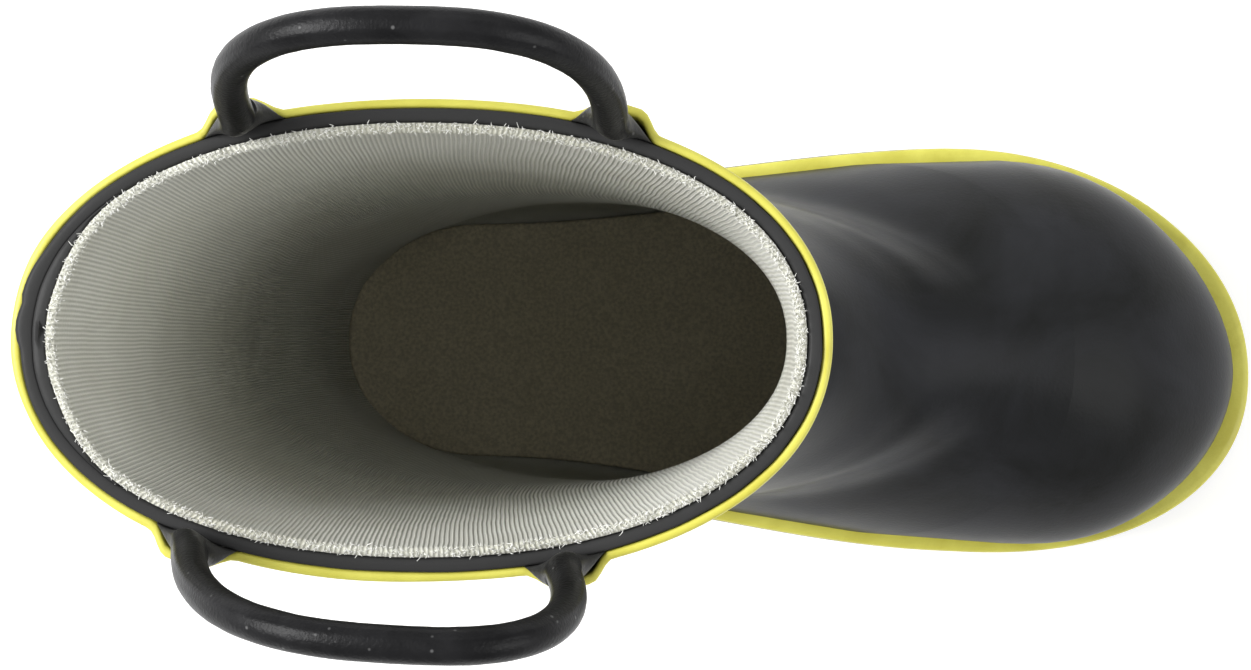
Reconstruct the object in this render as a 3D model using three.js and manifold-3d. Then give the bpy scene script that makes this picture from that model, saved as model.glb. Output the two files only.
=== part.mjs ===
// Child's pull-on rubber fire boot for the left foot: black rubber upper on a lugged
// outsole, yellow foxing strip and collar band, knit lining, loose insole and two pull loops.
// Millimetres. +X runs from heel to toe, +Y to the outer (little-toe) side, +Z up.
// While the pieces are made, x = 0 is the back of the sole and z = 0 the ground.
import * as THREE from 'three';
import { LoftGeometry } from 'three/addons/geometries/LoftGeometry.js';
import { mergeVertices } from 'three/addons/utils/BufferGeometryUtils.js';
import Module from 'manifold-3d';

const wasm = await Module();
wasm.setup();

// ---- Driving dimensions -----------------------------------------------------

// Sole outline, seen from below.
const SOLE_LENGTH = 190;
const BALL_WIDTH = 82.6;
const HEEL_WIDTH = 63;
const BALL_X = 131;
const HEEL_X = 35;
const OUTLINE_POWER = 2.1;
const TOE_SWING = 5.3;          // how far the toe leans to the big-toe side
const WAIST_SWING = 1.9;

// Shaft of the upper, outer face of the rubber.
const SHAFT_HEIGHT = 195.5;
const RIM_X = 40.1;
const RIM_LENGTH = 107.4;
const RIM_WIDTH = 62;
const ANKLE_HEIGHT = 110;
const ANKLE_FRONT_X = 96;
const ANKLE_BACK_X = -4.2;
const ANKLE_WIDTH = 56.6;
const SHAFT_POWER = 2.15;

// Foot of the upper.
const TOE_HEIGHT = 66;          // height that the toe's crown curve starts from
const TOE_TIP_Z = 20.5;
const CROWN_X = 112;
const CROWN_POWER = 2.1;
const TOE_LEAN = 19;
const TOE_TAPER = 1.8;
const TOE_TUCK = 0.6;           // the upper's toe draws in from the foxing

// Layers, from outside in.
const CLEARANCE = 0.3;          // between pieces that are bonded or lie together
const RUBBER = 1.9;
const STAY = 1.3;
const STIFFENER = 1.0;
const LINING = 1.1;
const BOARD = 1.5;
const FOAM = 3.0;
const COVER = 0.8;
const INSOLE_FIT = 1.4;         // play at the sides of the loose insole
const LASTING_MARGIN = 14;      // how far the rubber turns in under the insole board
const BOARD_RIM_Z = 19;         // the board's and the insole's heel edges curl up to here
const INSOLE_RIM_Z = 25;

// Foxing strip and outsole.
const FLANGE = 1.0;             // how far the outsole's edge stands out past the foxing
const FOXING = 2.2;
const FOXING_TOP = 20.5;
const TOE_DRAW = 1.5;           // the foxing draws in from the outsole's edge at the toe
const LUG_HEIGHT = 3.5;
const FLANGE_HEIGHT = 2.5;
const CUP_TOP = 15;
const LUG_INSET = 2;
const LUG_LENGTH = 8.5;
const LUG_GROOVE = 3.5;
const CENTRE_GROOVE = 3.2;
const HEEL_LUGS = 5;
const BALL_LUGS = 8;
const HEEL_LUG_X = 4;
const BALL_LUG_X = 88;

// Collar band and pull loops.
const BAND = 1.2;
const BAND_HEIGHT = 22;
const BAND_DROP = 0.5;          // the black lip stands this much above the band
const LINING_RISE = 0.4;        // the cut lining stands this much above the lip
const ROD = 5;
const LOOP_HEIGHT = 29.3;       // centre line of the rod, above its hinge line
const LOOP_POWER = 2.6;
const TAB = 2.6;
const TAB_HALF_WIDTH = 5.8;
const TAB_CORE = 1.8;
const TAB_DEPTH = 17;
const TAB_NECK = 2.0;
const ROD_OUT = 1.05;             // the rods stand this far outside the leg, partly over the lip
const LATERAL_LOOP = { rear: 16.6, front: 65.8, lean: 16.5, skew: 0.2, side: 1 };
const MEDIAL_LOOP = { rear: 10.2, front: 59.5, lean: 14.5, skew: 5.4, side: -1 };

// Joins in the upper and the lining.
const VAMP_JOIN_TOP = [100, 96];
const VAMP_JOIN_SOLE = [40, 12];
const LINING_JOIN_Z = 100;

// Facets.
const RING_POINTS = 20;
const COLLAR_POINTS = 96;
const TOE_RINGS = 7;

// ---- Small helpers ----------------------------------------------------------

const mix = (a, b, t) => a + (b - a) * t;
const smoothstep = THREE.MathUtils.smoothstep;
const power = (value, exponent) => Math.sign(value) * Math.abs(value) ** exponent;
const arch = (u, exponent) => (1 - Math.min(1, Math.abs(u)) ** exponent) ** (1 / exponent);

function solid(geometry) {
  const bare = new THREE.BufferGeometry();
  bare.setAttribute('position', geometry.getAttribute('position'));
  bare.setIndex(geometry.index);
  const merged = mergeVertices(bare, 1e-4);
  const corners = merged.index.array;
  const faces = [];
  for (let i = 0; i < corners.length; i += 3) {
    const [a, b, c] = corners.slice(i, i + 3);
    if (a !== b && b !== c && c !== a) {
      faces.push(a, b, c);
    }
  }
  const mesh = new wasm.Mesh({
    numProp: 3,
    vertProperties: new Float32Array(merged.attributes.position.array),
    triVerts: new Uint32Array(faces),
  });
  return new wasm.Manifold(mesh);
}

function geometryOf(manifold) {
  const { vertProperties, triVerts } = manifold.getMesh();
  const geometry = new THREE.BufferGeometry();
  geometry.setAttribute('position', new THREE.BufferAttribute(vertProperties, 3));
  geometry.setIndex(new THREE.BufferAttribute(triVerts, 1));
  return geometry;
}

function largestBody(manifold) {
  const bodies = manifold.decompose();
  return bodies.reduce((best, body) => (body.volume() > best.volume() ? body : best));
}

function box(x0, x1, y0, y1, z0, z1) {
  const geometry = new THREE.BoxGeometry(x1 - x0, y1 - y0, z1 - z0);
  geometry.translate((x0 + x1) / 2, (y0 + y1) / 2, (z0 + z1) / 2);
  return solid(geometry);
}

const REACH = 4 * Math.max(SOLE_LENGTH, SHAFT_HEIGHT);
const above = (z) => box(-REACH, REACH, -REACH, REACH, z, z + REACH);
const below = (z) => box(-REACH, REACH, -REACH, REACH, z - REACH, z);
const between = (z0, z1) => box(-REACH, REACH, -REACH, REACH, z0, z1);

// ---- Sole outline -----------------------------------------------------------

const lengthScale = SOLE_LENGTH / 190;
const ballX = BALL_X * lengthScale;
const heelX = HEEL_X * lengthScale;
const toeLength = SOLE_LENGTH - ballX;

function soleHalfWidth(x, inset = 0, draw = 0) {
  const heel = HEEL_WIDTH / 2 - inset;
  const ball = BALL_WIDTH / 2 - inset;
  if (x < heelX) {
    return heel * arch((heelX - x) / (heelX - inset), OUTLINE_POWER);
  }
  if (x > ballX) {
    return ball * arch((x - ballX) / (toeLength - inset - draw), OUTLINE_POWER);
  }
  return mix(heel, ball, smoothstep(x, heelX, ballX));
}

function soleCentre(x) {
  const waist = WAIST_SWING * smoothstep(x, heelX, ballX);
  const toe = Math.max(0, (x - ballX + 6) / (toeLength + 6));
  return -waist - TOE_SWING * toe ** 1.5;
}

function soleShape(inset, draw) {
  const stations = [];
  const arcSteps = 12;
  for (let i = 0; i <= arcSteps; i++) {
    stations.push(heelX - (heelX - inset) * Math.cos((i / arcSteps) * Math.PI / 2));
  }
  const waistSteps = 6;
  for (let i = 1; i < waistSteps; i++) {
    stations.push(mix(heelX, ballX, i / waistSteps));
  }
  for (let i = 0; i <= arcSteps; i++) {
    stations.push(ballX + (toeLength - inset - draw) * Math.sin((i / arcSteps) * Math.PI / 2));
  }
  const side = (x, sign) => new THREE.Vector2(x, soleCentre(x) + sign * soleHalfWidth(x, inset, draw));
  const lateral = stations.map((x) => side(x, 1));
  const medial = stations.slice(1, -1).reverse().map((x) => side(x, -1));
  return new THREE.Shape([...lateral, ...medial]);
}

function soleSlab(inset, z0, z1, draw = 0) {
  const geometry = new THREE.ExtrudeGeometry(soleShape(inset, draw), {
    depth: z1 - z0,
    bevelEnabled: false,
  });
  geometry.translate(0, 0, z0);
  return solid(geometry);
}

// ---- Boot form --------------------------------------------------------------

// The form is lofted through rings that each run from a point on the front-and-top
// rail of the boot to a point on its back-and-bottom rail.
const soleEdge = FLANGE + FOXING + CLEARANCE;

function shaftRow(rise) {
  const z = mix(ANKLE_HEIGHT, SHAFT_HEIGHT, rise);
  const spread = Math.max(0, 1 - rise);
  const rimFront = RIM_X + RIM_LENGTH / 2;
  const rimBack = RIM_X - RIM_LENGTH / 2;
  return {
    top: [rimFront + (ANKLE_FRONT_X - rimFront) * spread ** 3, z],
    sole: [mix(ANKLE_BACK_X, rimBack, rise), z - 3 * spread],
    half: mix(ANKLE_WIDTH, RIM_WIDTH, Math.min(1, rise) ** 1.4) / 2,
    widest: 0.5,
    soleEnd: SHAFT_POWER,
  };
}

// Instep, heel and waist: the rings swing round from level to upright.
const FOOT_ROWS = [
  { top: [101, 93], sole: [-1.4, 82], half: 28.1, widest: 0.5, soleEnd: 2.15 },
  { top: [109, 80.5], sole: [0.9, 60], half: 28.4, widest: 0.5, soleEnd: 2.15 },
  { top: [118, 73], sole: [1.9, 42], half: 29.2, widest: 0.49, soleEnd: 2.25 },
  { top: [124, 70], sole: [2.7, 28], half: 30, widest: 0.46, soleEnd: 2.4 },
  { top: [128.5, 68], sole: [6.8, 16.6], half: 30.2, widest: 0.42, soleEnd: 2.7 },
  { top: [132, 66.6], sole: [20, 14], half: 0, widest: 0.38, soleEnd: 3.2 },
  { top: [136, 65.2], sole: [45, 13.4], half: 0, widest: 0.32, soleEnd: 3.8 },
  { top: [141, 63.6], sole: [72, 12.4], half: 0, widest: 0.28, soleEnd: 4 },
  { top: [147, 61.8], sole: [100, 11.4], half: 0, widest: 0.25, soleEnd: 4 },
];

function footRow(row) {
  const top = [row.top[0] * lengthScale, row.top[1]];
  const sole = [row.sole[0] * lengthScale, row.sole[1]];
  if (row.half > 0) {
    return { ...row, top, sole };
  }
  // Past the heel the ring meets the sole outline where the foxing ends.
  const share = (FOXING_TOP + 1.5 - sole[1]) / (top[1] - sole[1]);
  const x = mix(sole[0], top[0], share);
  const fullness = arch((row.widest - share) / row.widest, row.soleEnd);
  return { ...row, top, sole, half: (soleHalfWidth(x) - soleEdge) / fullness };
}

const rows = [1.15, 1, 0.66, 0.33, 0].map(shaftRow).concat(FOOT_ROWS.map(footRow));
const lastRow = rows.length - 1;
const toeReach = toeLength - soleEdge - TOE_DRAW - TOE_TUCK;
const toeHalf = BALL_WIDTH / 2 - soleEdge;
const toeSoleZ = 11;

const curve = (pick) => new THREE.CatmullRomCurve3(rows.map(pick), false, 'catmullrom', 0.5);
const topRail = curve((row) => new THREE.Vector3(row.top[0], 0, row.top[1]));
const soleRail = curve((row) => new THREE.Vector3(row.sole[0], 0, row.sole[1]));
const girth = curve((row) => new THREE.Vector3(row.half, row.widest, row.soleEnd));
const toeStart = lastRow + 1;
const toeEnd = toeStart + 1;

// Height of the toe's crown line, for a wall that lies deeper by its inset.
function crownZ(x, wall) {
  const start = CROWN_X * lengthScale;
  const reach = ballX + toeReach - start - wall;
  return TOE_TIP_Z + (TOE_HEIGHT - wall - TOE_TIP_Z) * arch((x - start) / reach, CROWN_POWER);
}

// One point of the form. station runs over the rows and then from toeStart to toeEnd
// along the toe; angle 0 is the top rail. wall and bottom are insets from the outer face.
function formPoint(station, angle, wall, bottom) {
  let top;
  let sole;
  let heart;
  let half;
  let soleEnd;
  if (station <= lastRow) {
    const t = station / lastRow;
    const shape = girth.getPoint(t);
    const topSlope = topRail.getTangent(t);
    const soleSlope = soleRail.getTangent(t);
    const soleInset = mix(wall, bottom, smoothstep(station, 7.5, 9.5));
    const inward = new THREE.Vector3(-soleSlope.z, 0, soleSlope.x);
    top = topRail.getPoint(t).add(new THREE.Vector3(topSlope.z, 0, -topSlope.x).multiplyScalar(wall));
    sole = soleRail.getPoint(t).addScaledVector(inward, soleInset);
    heart = soleRail.getPoint(t).addScaledVector(inward, wall).lerp(top, shape.y);
    half = shape.x - wall;
    soleEnd = shape.z;
  } else {
    const turn = Math.min(1, station - toeStart) * Math.PI / 2;
    const reach = Math.max(0, Math.sin(turn)) ** (2 / OUTLINE_POWER);
    const taper = Math.max(0, Math.cos(turn)) ** (2 / TOE_TAPER);
    const x = ballX + (toeReach - wall) * reach;
    const topX = x + TOE_LEAN * lengthScale * Math.cos(turn) * (1 - reach);
    const roundness = Math.max(0, Math.cos(turn)) ** 0.5;
    const soleZ = (inset) => TOE_TIP_Z - (TOE_TIP_Z - toeSoleZ - inset) * roundness;
    top = new THREE.Vector3(topX, 0, crownZ(topX, wall));
    sole = new THREE.Vector3(x, 0, soleZ(bottom));
    heart = new THREE.Vector3(x, 0, soleZ(wall)).lerp(top, mix(0.25, 0.35, reach));
    half = (toeHalf - wall) * taper;
    soleEnd = mix(4, 2.6, reach);
  }
  const u = Math.cos(angle);
  const v = Math.sin(angle);
  const end = u >= 0 ? SHAFT_POWER : soleEnd;
  const point = heart.clone().lerp(u >= 0 ? top : sole, Math.abs(u) ** (2 / end));
  const footness = 1 - smoothstep(point.z, 60, 110);
  point.y = soleCentre(point.x) * footness + half * power(v, 2 / end);
  return point;
}

const none = () => 0;

// The closed form at an inset, with an extra inset that may change over its surface.
function form(wall, bottom, extra = none) {
  const stations = [0, 1, 2, 3, 4, 4.5, 5, 5.5, 6, 6.5, 7, 7.5, 8, 8.5, 9, 10, 11, 12, 13];
  for (let i = 0; i <= TOE_RINGS; i++) {
    stations.push(toeStart + i / TOE_RINGS);
  }
  const sections = stations.map((station) => {
    const ring = [];
    for (let j = 0; j < RING_POINTS; j++) {
      const angle = (j / RING_POINTS) * 2 * Math.PI;
      const deeper = extra(station, angle);
      ring.push(formPoint(station, angle, wall + deeper, bottom + deeper));
    }
    return ring.reverse();
  });
  return solid(new LoftGeometry(sections, { capStart: true, capEnd: false }));
}

// ---- Reinforcements between rubber and lining ---------------------------------

const backness = (angle) => Math.abs(Math.abs(angle - Math.PI));
const stayCover = (station, angle) => (
  (1 - smoothstep(station, 3.9, 4.6)) * (1 - smoothstep(backness(angle), 0.2, 0.72))
);
const heelCover = (station, angle) => (
  smoothstep(station, 5, 6) * (1 - smoothstep(station, 8.4, 9.4))
  * (1 - smoothstep(backness(angle), 0.9, 1.5))
);
const toeCover = (station, angle) => (
  smoothstep(station, toeStart + 0.15, toeStart + 0.4)
  * Math.max(smoothstep(Math.cos(angle), -0.7, -0.2), smoothstep(station, toeEnd - 0.3, toeEnd))
);
const pad = (cover, thickness) => (s, a) => cover(s, a) * (thickness + CLEARANCE);
const padding = (s, a) => (
  pad(stayCover, STAY)(s, a) + pad(heelCover, STIFFENER)(s, a) + pad(toeCover, STIFFENER)(s, a)
);

// ---- Insets of each layer -----------------------------------------------------

const underRubber = RUBBER + CLEARANCE;
const boardTop = underRubber + BOARD;
const liningOuter = boardTop + CLEARANCE;
const liningInner = liningOuter + LINING;
const foamBottom = liningInner + CLEARANCE;
const foamTop = foamBottom + FOAM;
const coverBottom = foamTop + CLEARANCE;
const coverTop = coverBottom + COVER;
const insoleWall = underRubber + LINING + INSOLE_FIT;

// A slab that lies on the bottom of the form between two depths, with a curled heel edge.
function bottomLayer(wall, lower, upper, rimZ, extra = none) {
  const slab = form(wall, lower, extra).subtract(form(wall - CLEARANCE, upper, extra));
  return largestBody(slab.subtract(above(rimZ)));
}

// A patch that fills the room that the padding leaves under the rubber.
function reinforcement(cover, thickness) {
  const depth = pad(cover, thickness);
  const inner = form(RUBBER, liningOuter - CLEARANCE, depth);
  return largestBody(form(underRubber, liningOuter).subtract(inner));
}

// ---- Upper and lining -----------------------------------------------------------

const joinAngle = Math.atan2(
  VAMP_JOIN_TOP[1] - VAMP_JOIN_SOLE[1],
  VAMP_JOIN_TOP[0] - VAMP_JOIN_SOLE[0],
);

// Everything forward of and below the line where vamp and leg meet, moved by half the gap.
function forwardOfJoin(shift) {
  const geometry = new THREE.BoxGeometry(REACH, REACH, REACH);
  geometry.translate(0, 0, -REACH / 2 - shift);
  geometry.rotateY(-joinAngle);
  geometry.translate(VAMP_JOIN_TOP[0] * lengthScale, 0, VAMP_JOIN_TOP[1]);
  return solid(geometry);
}

function makeUpper() {
  const sheet = form(0, 0).subtract(form(RUBBER, RUBBER)).subtract(above(SHAFT_HEIGHT));
  const lasted = sheet.subtract(soleSlab(soleEdge + LASTING_MARGIN, 0, FOXING_TOP));
  return {
    vamp: lasted.intersect(forwardOfJoin(CLEARANCE / 2)),
    leg: lasted.subtract(forwardOfJoin(-CLEARANCE / 2)),
  };
}

function makeLining() {
  const outer = form(underRubber, liningOuter, padding).subtract(above(SHAFT_HEIGHT + LINING_RISE));
  const sock = outer.subtract(form(underRubber + LINING, liningInner, padding));
  return {
    foot: sock.intersect(below(LINING_JOIN_Z - CLEARANCE / 2)),
    leg: sock.intersect(above(LINING_JOIN_Z + CLEARANCE / 2)),
  };
}

// ---- Outsole and foxing ---------------------------------------------------------

const baseTop = LUG_HEIGHT + FLANGE_HEIGHT;

function lugRow(startX, count) {
  const bars = [];
  for (let i = 0; i < count; i++) {
    const x = startX * lengthScale + i * (LUG_LENGTH + LUG_GROOVE);
    bars.push(box(x, x + LUG_LENGTH, -REACH, REACH, 0, LUG_HEIGHT + 0.2));
  }
  return bars;
}

function makeOutsole() {
  const flange = soleSlab(0, LUG_HEIGHT, baseTop);
  const cup = soleSlab(soleEdge, LUG_HEIGHT + 1, CUP_TOP, TOE_DRAW);
  let lugs = null;
  for (const bar of [...lugRow(HEEL_LUG_X, HEEL_LUGS), ...lugRow(BALL_LUG_X, BALL_LUGS)]) {
    lugs = lugs ? lugs.add(bar) : bar;
  }
  lugs = lugs.intersect(soleSlab(LUG_INSET, 0, LUG_HEIGHT + 0.2));
  const groove = soleCentre(ballX / 2);
  lugs = lugs.subtract(
    box(-REACH, REACH, groove - CENTRE_GROOVE / 2, groove + CENTRE_GROOVE / 2, -1, LUG_HEIGHT),
  );
  const bed = form(-CLEARANCE, -CLEARANCE);
  return largestBody(flange.add(cup).subtract(bed).add(lugs));
}

function makeFoxing() {
  const strip = soleSlab(FLANGE, baseTop + CLEARANCE, FOXING_TOP, TOE_DRAW);
  const inside = soleSlab(FLANGE + FOXING, 0, REACH, TOE_DRAW);
  return largestBody(strip.subtract(inside).subtract(form(-CLEARANCE, -CLEARANCE)));
}

function makeFiller() {
  const opening = soleSlab(soleEdge + LASTING_MARGIN + CLEARANCE, 0, FOXING_TOP);
  return form(0, 0).subtract(form(-CLEARANCE, RUBBER)).intersect(opening);
}

// ---- Collar band and pull loops ---------------------------------------------------

const LOOPS = { lateral: LATERAL_LOOP, medial: MEDIAL_LOOP };
const bandTop = SHAFT_HEIGHT - BAND_DROP;
const neckBottom = SHAFT_HEIGHT + LINING_RISE;
const neckTop = neckBottom + TAB_NECK;
const hingeZ = neckTop + CLEARANCE + ROD / 2;

function collarPoint(angle, z, out) {
  const rise = (z - ANKLE_HEIGHT) / (SHAFT_HEIGHT - ANKLE_HEIGHT);
  const row = shaftRow(rise);
  const centre = (row.top[0] + row.sole[0]) / 2;
  const length = (row.top[0] - row.sole[0]) / 2 + out;
  const x = centre + length * power(Math.cos(angle), 2 / SHAFT_POWER);
  const y = (row.half + out) * power(Math.sin(angle), 2 / SHAFT_POWER);
  return new THREE.Vector3(x, y, z);
}

// How far a tab pushes the band out at a point of the collar.
function tabRise(point) {
  const loop = point.y > 0 ? LATERAL_LOOP : MEDIAL_LOOP;
  const near = Math.min(Math.abs(point.x - loop.rear), Math.abs(point.x - loop.front));
  const depth = smoothstep(point.z, SHAFT_HEIGHT - TAB_DEPTH - 4, SHAFT_HEIGHT - TAB_DEPTH + 4);
  return (TAB + CLEARANCE) * depth * (1 - smoothstep(near, TAB_CORE, TAB_HALF_WIDTH));
}

function collarForm(out, withTabs) {
  const heights = [SHAFT_HEIGHT - BAND_HEIGHT - 2, SHAFT_HEIGHT - TAB_DEPTH, SHAFT_HEIGHT - 9];
  heights.push(neckTop + 4);
  const sections = heights.map((z) => {
    const ring = [];
    for (let j = 0; j < COLLAR_POINTS; j++) {
      const angle = (j / COLLAR_POINTS) * 2 * Math.PI;
      const rise = withTabs ? tabRise(collarPoint(angle, z, 0)) : 0;
      ring.push(collarPoint(angle, z, out + rise));
    }
    return ring;
  });
  return solid(new LoftGeometry(sections, { capStart: true, capEnd: true }));
}

function makeBand() {
  const ring = collarForm(CLEARANCE + BAND, true).subtract(collarForm(CLEARANCE, true));
  return ring.intersect(between(SHAFT_HEIGHT - BAND_HEIGHT, bandTop));
}

// Where a loop's leg stands on the collar.
function rootAt(loop, x) {
  const length = RIM_LENGTH / 2 + ROD_OUT;
  const half = shaftRow(1).half + ROD_OUT;
  return new THREE.Vector3(x, loop.side * half * arch((x - RIM_X) / length, SHAFT_POWER), 0);
}

function makeTab(loop, x) {
  const slice = box(x - TAB_HALF_WIDTH, x + TAB_HALF_WIDTH, -REACH, REACH, -REACH, REACH);
  const side = loop.side > 0 ? box(-REACH, REACH, 1, REACH, 0, REACH) : box(-REACH, REACH, -REACH, -1, 0, REACH);
  const tongue = collarForm(0, true).subtract(collarForm(CLEARANCE, false))
    .intersect(between(SHAFT_HEIGHT - TAB_DEPTH, neckTop)).intersect(slice).intersect(side);
  const root = rootAt(loop, x);
  const boss = new THREE.CylinderGeometry(ROD / 2, ROD / 2, neckTop - neckBottom - CLEARANCE, 12);
  boss.rotateX(Math.PI / 2);
  boss.translate(root.x, root.y, (neckBottom + CLEARANCE + neckTop) / 2);
  return largestBody(tongue.add(solid(boss)));
}

class LoopCurve extends THREE.Curve {
  constructor(loop) {
    super();
    this.rear = rootAt(loop, loop.rear);
    this.front = rootAt(loop, loop.front);
    this.loop = loop;
  }

  getPoint(t, target = new THREE.Vector3()) {
    const turn = t * Math.PI;
    const along = 0.5 - 0.5 * power(Math.cos(turn), 2 / LOOP_POWER);
    const rise = Math.max(0, Math.sin(turn)) ** (2 / LOOP_POWER);
    const lean = THREE.MathUtils.degToRad(this.loop.lean) * this.loop.side;
    const height = LOOP_HEIGHT * rise;
    target.lerpVectors(this.rear, this.front, along);
    target.x += this.loop.skew * rise;
    target.y += height * Math.tan(lean);
    target.z = hingeZ + height;
    return target;
  }
}

function makeLoop(loop) {
  const path = new LoopCurve(loop);
  const section = new THREE.Shape(new THREE.EllipseCurve(0, 0, ROD / 2, ROD / 2).getPoints(8).slice(1));
  const rod = new THREE.ExtrudeGeometry(section, { extrudePath: path, steps: 16, bevelEnabled: false });
  let body = solid(rod);
  for (const root of [path.rear, path.front]) {
    const end = new THREE.SphereGeometry(ROD / 2, 8, 6);
    end.translate(root.x, root.y, hingeZ);
    body = body.add(solid(end));
  }
  return body;
}

// ---- Assembly -------------------------------------------------------------------

const BLACK_RUBBER = { color: 0x2b2c2d, roughness: 0.38, metalness: 0 };
const YELLOW_RUBBER = { color: 0xe2d75f, roughness: 0.5, metalness: 0 };
const KNIT = { color: 0xb4b6a8, roughness: 0.95, metalness: 0 };
const BOARD_FIBRE = { color: 0x8a7a5c, roughness: 0.9, metalness: 0 };
const SOLE_RUBBER = { color: 0x1f2021, roughness: 0.6, metalness: 0 };
const FOAM_LOOK = { color: 0x55524a, roughness: 0.95, metalness: 0 };
const COVER_LOOK = { color: 0x3b372b, roughness: 0.95, metalness: 0 };

const boot = new THREE.Group();

function addPiece(name, manifold, look) {
  const mesh = new THREE.Mesh(geometryOf(manifold), new THREE.MeshStandardMaterial(look));
  mesh.name = name;
  boot.add(mesh);
}

const upper = makeUpper();
const lining = makeLining();

addPiece('outsole', makeOutsole(), SOLE_RUBBER);
addPiece('foxing_strip', makeFoxing(), YELLOW_RUBBER);
addPiece('bottom_filler', makeFiller(), BOARD_FIBRE);
addPiece('insole_board', bottomLayer(underRubber, underRubber, boardTop, BOARD_RIM_Z), BOARD_FIBRE);
addPiece('vamp', upper.vamp, BLACK_RUBBER);
addPiece('leg', upper.leg, BLACK_RUBBER);
addPiece('back_stay', reinforcement(stayCover, STAY).subtract(above(SHAFT_HEIGHT)), BLACK_RUBBER);
addPiece('heel_stiffener', reinforcement(heelCover, STIFFENER), BOARD_FIBRE);
addPiece('toe_puff', reinforcement(toeCover, STIFFENER), BOARD_FIBRE);
addPiece('foot_lining', lining.foot, KNIT);
addPiece('leg_lining', lining.leg, KNIT);
const insoleLayer = (lower, upper) => bottomLayer(insoleWall, lower, upper, INSOLE_RIM_Z, padding);
addPiece('insole_foam', insoleLayer(foamBottom, foamTop), FOAM_LOOK);
addPiece('insole_cover', insoleLayer(coverBottom, coverTop), COVER_LOOK);
addPiece('collar_band', makeBand(), YELLOW_RUBBER);
for (const [side, loop] of Object.entries(LOOPS)) {
  addPiece(`${side}_loop`, makeLoop(loop), BLACK_RUBBER);
  addPiece(`${side}_rear_tab`, makeTab(loop, loop.rear), BLACK_RUBBER);
  addPiece(`${side}_front_tab`, makeTab(loop, loop.front), BLACK_RUBBER);
}

// The origin goes to the middle of the boot's footprint box, on the ground.
const extent = new THREE.Box3().setFromObject(boot);
const middle = extent.getCenter(new THREE.Vector3());
boot.position.set(-middle.x, -middle.y, -extent.min.z);
boot.updateMatrixWorld(true);

export default boot;
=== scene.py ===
import math
import random

import bmesh
import bpy
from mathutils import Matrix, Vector, noise
from mathutils.bvhtree import BVHTree


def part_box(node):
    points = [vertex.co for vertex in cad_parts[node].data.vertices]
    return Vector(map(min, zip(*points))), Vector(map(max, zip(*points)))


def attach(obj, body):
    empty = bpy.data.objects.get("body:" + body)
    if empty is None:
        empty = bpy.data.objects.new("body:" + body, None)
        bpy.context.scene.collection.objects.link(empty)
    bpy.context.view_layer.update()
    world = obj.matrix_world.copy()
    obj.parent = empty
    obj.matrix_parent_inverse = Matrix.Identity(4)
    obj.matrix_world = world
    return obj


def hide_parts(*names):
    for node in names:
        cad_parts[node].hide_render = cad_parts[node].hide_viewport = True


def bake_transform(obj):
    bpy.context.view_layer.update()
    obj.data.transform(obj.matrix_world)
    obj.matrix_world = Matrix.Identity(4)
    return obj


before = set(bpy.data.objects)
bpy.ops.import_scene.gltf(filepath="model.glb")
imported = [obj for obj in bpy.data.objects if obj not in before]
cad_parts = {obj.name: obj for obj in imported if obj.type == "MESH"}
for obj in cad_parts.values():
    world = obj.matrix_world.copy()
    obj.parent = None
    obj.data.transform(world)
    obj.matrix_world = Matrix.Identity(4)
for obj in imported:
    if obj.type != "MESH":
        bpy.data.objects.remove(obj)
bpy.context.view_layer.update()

# ---------------------------------------------------------------------------------------
# Knit lining. A ribbed knit sock in grey-white yarn is pulled over the last first, ribs
# running down the leg. Everything else in the boot follows the last's form, so the curves
# of that form are worked out here.

mm = 0.001
heel_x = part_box("outsole")[0].x
mid_y = (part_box("leg")[0].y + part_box("leg")[1].y) / 2
sole_length = 190.0
ball_width, heel_width = 82.6, 63.0
ball_x, heel_curve_x = 131.0, 35.0
shaft_height, ankle_height = 195.5, 110.0
rim_x, rim_length, rim_width = 40.1, 107.4, 62.0
ankle_width, leg_roundness = 56.6, 2.15
foxing_top = 20.5
upper_inset = 3.5
outline_power = 2.1
toe_draw, toe_tuck, toe_lean, toe_taper = 1.5, 0.6, 19, 1.8
crown_from, crown_height, crown_power = 112, 66, 2.1
feather_depth = 9.5


def smooth(value, low, high):
    """0 below low, 1 above high, an even curve between."""
    share = min(1.0, max(0.0, (value - low) / (high - low)))
    return share * share * (3 - 2 * share)


def mix(a, b, share):
    return a + (b - a) * share


def arch(u, power):
    """Height of a unit arch at u; power 2 is a circle, more is squarer."""
    return (1 - min(1.0, abs(u)) ** power) ** (1 / power)


def bent(value, power):
    """A power that keeps the sign."""
    return math.copysign(abs(value) ** power, value)


def sole_half(x, inset=0.0, draw=0.0):
    """Half the sole's width at x, for an outline inset inside the edge and drawn in at the
    toe."""
    heel = heel_width / 2 - inset
    ball = ball_width / 2 - inset
    if x < heel_curve_x:
        return heel * arch((heel_curve_x - x) / (heel_curve_x - inset), outline_power)
    if x > ball_x:
        return ball * arch((x - ball_x) / (sole_length - ball_x - inset - draw), outline_power)
    return mix(heel, ball, smooth(x, heel_curve_x, ball_x))


def sole_middle(x):
    """The sole's centre line swings to the big-toe side."""
    toe = max(0.0, (x - ball_x + 6) / (sole_length - ball_x + 6))
    return -1.9 * smooth(x, heel_curve_x, ball_x) - 5.3 * toe ** 1.5


def shaft_row(rise):
    """Row of the form up the leg: rise is 0 at the ankle and 1 at the rim."""
    spread = max(0.0, 1 - rise)
    front = rim_x + rim_length / 2
    back = rim_x - rim_length / 2
    z = mix(ankle_height, shaft_height, rise)
    half = mix(ankle_width, rim_width, min(1.0, max(0.0, rise)) ** 1.4) / 2
    top_x = front + (96 - front) * spread ** 3
    return [top_x, z, mix(-4.2, back, rise), z - 3 * spread, half, 0.5, leg_roundness]


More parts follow.
